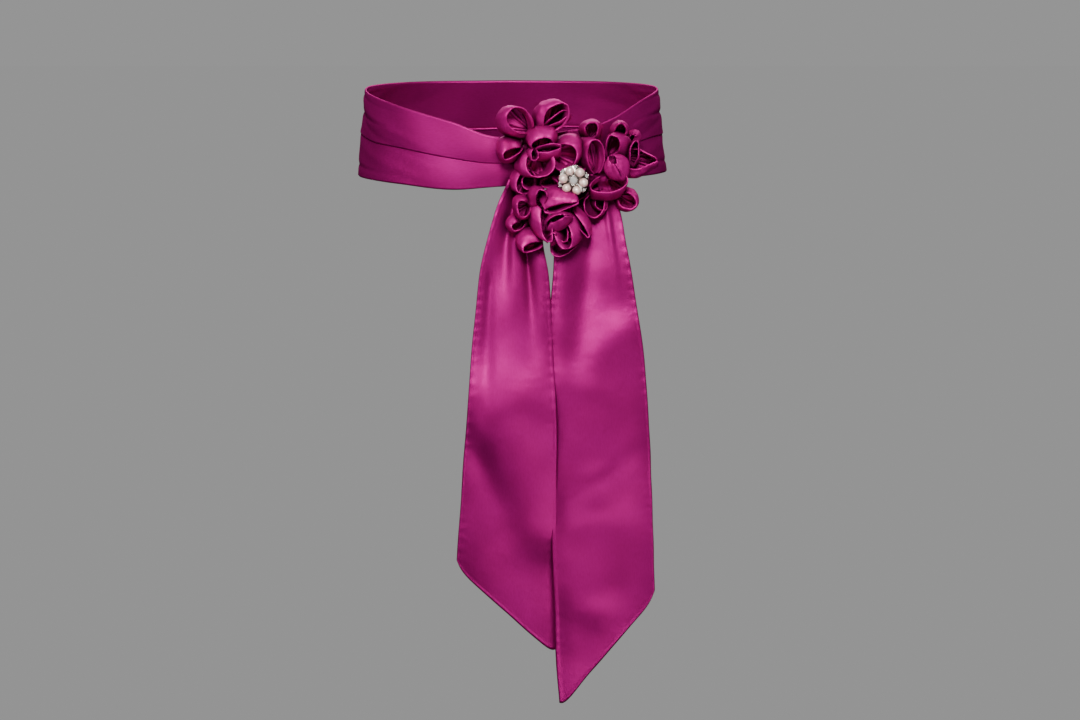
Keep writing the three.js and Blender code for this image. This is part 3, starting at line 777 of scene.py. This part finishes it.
brooch = dict(
    centre=(50.3, -121.5, -34.7), pearlRadius=3.6, pearlRing=8.3, pearlSeat=2.6, gap=0.35,
    crystalRadius=3.1, smallRadius=1.15, smallRing=11.2,
    pearlAngles=(51, -11, -72, -132, 170, 110), smallAngles=(20, 80, 140, 200, 260, 320),
)
knot = dict(radius=12.6, back=-92.5, front=-118.9, around=240, deep=60, flat=(0.02, 0.075))
knotFolds = table("height around across", [(0.55, 17, 3), (0.45, 11, -2), (0.3, 27, 0)])


def makeKnot():
    # A bunch of ribbon: a round body whose radius and front are waved by radial folds.
    turn = np.linspace(0, 2 * pi, knot["around"], endpoint=False)[:, None]
    t = np.linspace(0, 1, knot["deep"])[None, :]
    radius = knot["radius"] * np.sin(pi * t) ** 0.35
    radius = radius + ripples(knotFolds, turn, t) * (radius / knot["radius"])
    depth = knot["back"] + (knot["front"] - knot["back"]) * (1 - np.cos(pi * t)) / 2
    depth = depth + 0.5 * np.sin(9 * turn) * np.sin(pi * t)
    x = brooch["centre"][0] + radius * np.cos(turn)
    z = brooch["centre"][2] + radius * np.sin(turn)
    points = np.stack([x, depth, z], -1).reshape(-1, 3)
    faces = tubeFaces(knot["around"], knot["deep"])
    piece = meshFrom("gathered_ribbon", points, faces, points[:, [0, 2]] / 100)
    dropLoose(piece)
    finishPiece(piece, loopSatinPaintedLight, ["gathered_knot"])


makeKnot()
print("knot made")


# Brooch materials

def metal(name, colour, roughness):
    # bright metal, faintly mottled, with shade painted dark brown into its corners
    sheet = Sheet(name, Metallic=1.0)
    worn = sheet.noise(sheet.place(), 700, 3, 0.6)
    dull = tuple(0.8 * c for c in colour[:3]) + (1,)
    clean = sheet.mixed(worn, dull, colour)
    # painted shade: the colour sinks to dark brown where the metal is closed in
    sheet.feed("Base Color", sheet.mixed(sheet.openness(0.003) ** 1.5, (0.11, 0.055, 0.04, 1), clean))
    sheet.feed("Roughness", roughness + 0.15 * (worn - 0.5))
    sheet.feed("Normal", sheet.bump(worn, 0.00006, 0.4))
    return sheet.material


def pearlFinish():
    # pinkish nacre: slow colour drift under a clear glossy coat, with shade painted brown-red where it is
    # closed in
    sheet = Sheet("pearl", Metallic=0.25, Specular_IOR_Level=0.9,
                  Coat_Weight=1.0, Coat_Roughness=0.15, Coat_IOR=1.9)
    place = sheet.place()
    drift = sheet.noise(place, 260, 2, 0.5)
    nacre = sheet.mixed(drift, (0.98, 0.58, 0.50, 1), (1.0, 0.83, 0.76, 1))
    # painted shade: brown-red where the pearl is closed in
    sheet.feed("Base Color", sheet.mixed(sheet.openness(0.004), (0.38, 0.13, 0.09, 1), nacre))
    sheet.feed("Roughness", 0.24 + 0.08 * drift)
    sheet.feed("Normal", sheet.bump(sheet.noise(place, 900, 2, 0.5), 0.00003, 0.3))
    return sheet.material


def crystalFinish():
    # clear glass over foil: its grey and its shine vary in small patches
    sheet = Sheet("crystal", Roughness=0.1, IOR=1.75, Specular_IOR_Level=0.9,
                  Coat_Weight=0.5, Coat_Roughness=0.02)
    fire = sheet.noise(sheet.place(), 500, 2, 0.5)
    sheet.feed("Base Color", sheet.mixed(fire, (0.62, 0.58, 0.55, 1), (1.0, 0.99, 0.98, 1)))
    sheet.feed("Metallic", 0.25 + 0.4 * fire)
    return sheet.material


silverMaterial = metal("silver", (0.96, 0.93, 0.88, 1), 0.24)
pearlMaterial = pearlFinish()
crystalMaterial = crystalFinish()


# Brooch shapes

def atBrooch(angle, ring, forward):
    # a place on the brooch: angle from the right, ring radius, distance in front of the plate
    x, y, z = brooch["centre"]
    turn = np.radians(angle)
    return np.array([x + ring * np.cos(turn), y - forward, z + ring * np.sin(turn)])


def spin(profile, around, centre, swell=1):
    # Profile of (radius, forward) swept round the axis toward the front. Ends that
    # lie on the axis become single points, or else the profile closes on itself.
    profile = np.array(profile, float)
    turn = np.linspace(0, 2 * pi, around, endpoint=False)[:, None]
    radius = profile[None, :, 0] * swell
    x = centre[0] + radius * np.cos(turn)
    z = centre[2] + radius * np.sin(turn)
    points = np.stack([x, centre[1] - profile[None, :, 1] + 0 * turn, z], -1)
    poles = [end for end in (0, -1) if profile[end, 0] < 1e-6]
    return points.reshape(-1, 3), tubeFaces(around, len(profile), poles)


def lobes(around, height, count, angle):
    # share by which a spun radius swells, with the first of its hills at the angle
    turn = np.linspace(0, 2 * pi, around, endpoint=False)[:, None]
    return 1 + height * np.cos(count * (turn - np.radians(angle)))


def joined(parts):
    points, faces, count = [], [], 0
    for partPoints, partFaces in parts:
        points.append(partPoints)
        faces += [[i + count for i in face] for face in partFaces]
        count += len(partPoints)
    return np.concatenate(points), faces


def jewel(name, parts, material, node, smooth=True):
    piece = meshFrom(name, *joined(parts))
    dropLoose(piece)
    piece.data.polygons.foreach_set("use_smooth", np.full(len(piece.data.polygons), smooth))
    return finishPiece(piece, material, [node])


def ball(centre, radius, steps):
    rise = np.linspace(0, pi, steps)
    return spin(np.column_stack([radius * np.sin(rise), -radius * np.cos(rise)]), 2 * steps, centre)


def makeClaw(angle):
    # a short round finger that leans inward over the middle stone
    rise = np.linspace(0, 1, claws["long"])[None, :]
    turn = np.linspace(0, 2 * pi, claws["around"], endpoint=False)[:, None]
    foot = atBrooch(angle, claws["ring"], claws["low"])
    tip = atBrooch(angle, claws["ring"] - claws["lean"], claws["high"])
    size = claws["radius"] * np.sqrt(np.clip(1 - (2 * rise - 1) ** 8, 0, 1))
    circle = np.stack([np.cos(turn), 0 * turn, np.sin(turn)], -1)
    points = foot + (tip - foot) * rise[..., None] + size[..., None] * circle
    return points.reshape(-1, 3), tubeFaces(claws["around"], claws["long"])


def cutStone(centre, radius):
    # A brilliant: an eight sided table, a crown of kites and triangles, a girdle
    # of sixteen and a pointed back. Rings are given as radius, forward, sides, turn.
    rings = [(0, -0.1, 1, 0), (radius, 0.5 * radius, 16, 0), (radius, 0.58 * radius, 16, 0),
             (0.8 * radius, 0.82 * radius, 8, 0.5), (0.56 * radius, 0.95 * radius, 8, 0)]
    points, starts = [], []
    for ringRadius, forward, sides, turned in rings:
        starts.append(sum(len(p) for p in points))
        turn = (np.arange(sides) + turned) * 2 * pi / sides
        points.append(np.column_stack([centre[0] + ringRadius * np.cos(turn),
                                       np.full(sides, centre[1] - forward),
                                       centre[2] + ringRadius * np.sin(turn)]))
    low, high, kite, top = starts[1:]
    faces = [list(range(top, top + 8))]
    for i in range(16):
        j = (i + 1) % 16
        faces += [[0, low + j, low + i], [low + i, low + j, high + j, high + i]]
    for i in range(8):
        j = (i + 1) % 8
        a, b, c = high + 2 * i, high + 2 * i + 1, high + (2 * i + 2) % 16
        faces += [[a, b, kite + i], [b, c, kite + i], [kite + i, c, top + j]]
        faces += [[a, kite + i, top + i], [kite + i, top + j, top + i]]
    return np.concatenate(points), [face[::-1] for face in faces]


# profiles are pairs of radius and distance in front of the plate
plate = dict(radius=11.9, thickness=2.0, bevel=0.5, slope=0.4, around=144, swell=0.055, lobes=6, angle=20)
claws = dict(first=22, step=45, ring=3.65, low=1.6, high=3.3, radius=0.34, lean=0.55, around=10, long=8)
middleCup = dict(around=48, swell=0.02, lobes=8, profile=[
    (3.45, 0.05), (3.45, 1.9), (3.65, 2.1), (3.95, 2.1), (4.15, 1.9), (4.15, 0.05)])
pearlCup = dict(around=40, profile=[(1.9, 0), (1.9, 0.7), (2.2, 1.0), (2.6, 0.9), (2.9, 0)])
smallCup = dict(around=32, profile=[
    (1.0, -0.4), (1.2, 0.5), (1.3, 1.0), (1.5, 1.0), (1.6, 0.5), (1.5, -0.4)])
grains = dict(radius=0.42, ring=1.5, forward=1.25, angles=(-50, 0, 50, 180))
edgeGrains = dict(count=36, radius=0.5, inward=0.2, forward=0.1)
grainSteps = 10


def plateBody():
    wide, thick, bevel = plate["radius"], plate["thickness"], plate["bevel"]
    profile = [(0, -thick), (wide - bevel, -thick), (wide, bevel - thick),
               (wide, -plate["slope"]), (wide - bevel, 0), (0, 0)]
    swell = lobes(plate["around"], plate["swell"], plate["lobes"], plate["angle"])
    return spin(profile, plate["around"], atBrooch(0, 0, 0), swell)


def smallSetting(angle):
    # a cup with four grains that hold its stone
    centre = atBrooch(angle, brooch["smallRing"], 0)
    parts = [spin(smallCup["profile"], smallCup["around"], centre)]
    for lean in grains["angles"]:
        way = np.radians(angle + lean)
        move = np.array([grains["ring"] * np.cos(way), -grains["forward"], grains["ring"] * np.sin(way)])
        parts.append(ball(centre + move, grains["radius"], grainSteps))
    return parts


def edgeGrain(angle):
    swell = 1 + plate["swell"] * np.cos(np.radians(plate["lobes"] * (angle - plate["angle"])))
    centre = atBrooch(angle, plate["radius"] * swell - edgeGrains["inward"], edgeGrains["forward"])
    return ball(centre, edgeGrains["radius"], grainSteps)


def makeSetting():
    swell = lobes(middleCup["around"], middleCup["swell"], middleCup["lobes"], 0)
    parts = [plateBody(), spin(middleCup["profile"], middleCup["around"], atBrooch(0, 0, 0), swell)]
    parts += [makeClaw(angle) for angle in range(claws["first"], claws["first"] + 360, claws["step"])]
    for angle in brooch["pearlAngles"]:
        centre = atBrooch(angle, brooch["pearlRing"], 0)
        parts.append(spin(pearlCup["profile"], pearlCup["around"], centre))
    for angle in brooch["smallAngles"]:
        parts += smallSetting(angle)
    parts += [edgeGrain(360 / edgeGrains["count"] * i) for i in range(edgeGrains["count"])]
    jewel("brooch_frame", parts, silverMaterial, "brooch_setting")


makeSetting()
for i, angle in enumerate(brooch["pearlAngles"]):
    place = atBrooch(angle, brooch["pearlRing"], brooch["gap"] + brooch["pearlSeat"])
    pearl = ball(place, brooch["pearlRadius"], 40)
    jewel(f"pearl_bead_{i + 1}", [pearl], pearlMaterial, f"pearl_{i + 1}")
stone = cutStone(atBrooch(0, 0, brooch["gap"]), brooch["crystalRadius"])
jewel("crystal_stone", [stone], crystalMaterial, "centre_crystal", smooth=False)
for i, angle in enumerate(brooch["smallAngles"]):
    stone = cutStone(atBrooch(angle, brooch["smallRing"], brooch["gap"]), brooch["smallRadius"])
    node = f"small_stone_{i + 1}"
    jewel(f"small_crystal_{i + 1}", [stone], crystalMaterial, node, smooth=False)
print("brooch made")


# Camera, floor and light, in metres

view = dict(distance=2.4, elevation=6.5, lens=94.13, sensor=36, far=100, target=(0.02358, 0, -0.19324))
camera = bpy.data.objects.new("camera", bpy.data.cameras.new("camera"))
bpy.context.collection.objects.link(camera)
rise = np.radians(view["elevation"])
toward = Vector((0, -np.cos(rise), np.sin(rise)))
camera.location = Vector(view["target"]) + toward * view["distance"]
camera.rotation_mode = "QUATERNION"
camera.rotation_quaternion = (-toward).to_track_quat("-Z", "Y")
camera.data.lens = view["lens"]
camera.data.sensor_width = view["sensor"]
camera.data.clip_end = view["far"]
bpy.context.scene.camera = camera

# the floor glows in the backdrop's grey and takes no light from the lamps
ground = dict(size=400.0, height=-0.9, grey=0.317)
corners = np.array([(-1, -1), (1, -1), (1, 1), (-1, 1)]) * ground["size"] / 2
floorPoints = np.column_stack([corners, np.full(4, ground["height"])]) / mm
floor = meshFrom("floor", floorPoints, np.array([[0, 1, 2, 3]]))
floorLook = Sheet("floor", Base_Color=(0, 0, 0, 1), Roughness=0.9, Specular_IOR_Level=0.0,
                  Emission_Color=(ground["grey"],) * 3 + (1,), Emission_Strength=1.0)
floor.data.materials.append(floorLook.material)
floor.visible_glossy = False

# soft round lamps: place and size in metres, power in watts, the last one for the back
lamps = table("x y z size power", [
    (-0.05, -2.6, 1.6, 1.1, 132),
    (0.6, -1.9, -0.8, 0.9, 11),
    (-1.5, -2.3, 0.3, 0.9, 10),
    (0.1, -1.0, 2.3, 1.2, 9),
    (0.15, 2.1, 1.6, 2.6, 50),
])
lampAim = Vector((0.03, -0.05, -0.15))
for i, (x, y, z, size, power) in enumerate(zip(*lamps.values())):
    lamp = bpy.data.objects.new(f"lamp_{i + 1}", bpy.data.lights.new(f"lamp_{i + 1}", "AREA"))
    bpy.context.collection.objects.link(lamp)
    place = Vector((x, y, z))
    aim = (lampAim - place).to_track_quat("-Z", "Y")
    lamp.matrix_world = Matrix.Translation(place) @ aim.to_matrix().to_4x4()
    lamp.data.shape = "DISK"
    lamp.data.size = size
    lamp.data.energy = power

# The world is pale along the horizon and dark below and overhead. Height 0 is straight
# down and 1 straight up. The camera sees it at full strength, and the light has a part.
sky = dict(light=0.32, stops=((0.0, 0.04), (0.46, 0.04), (0.49, 0.323), (0.57, 0.323), (0.64, 0.06)))
world = bpy.data.worlds.new("world")
bpy.context.scene.world = world
world.use_nodes = True
skyNodes = Nodes(world.node_tree)
direction = skyNodes.node("ShaderNodeTexCoord")
upward = skyNodes.node("ShaderNodeSeparateXYZ", None, {0: direction}, out=2)
height = skyNodes.node("ShaderNodeMapRange", None, {"Value": upward, "From Min": -1})
stops = [(place, (grey, grey, grey, 1)) for place, grey in sky["stops"]]
tone = skyNodes.node("ShaderNodeValToRGB", dict(stops=stops), {0: height})
seen = skyNodes.node("ShaderNodeLightPath")
strength = skyNodes.node("ShaderNodeMapRange", None, {"Value": seen, "To Min": sky["light"]})
background = world.node_tree.nodes["Background"]
skyNodes.put(background.inputs["Color"], tone)
skyNodes.put(background.inputs["Strength"], strength)

print("scene ready")
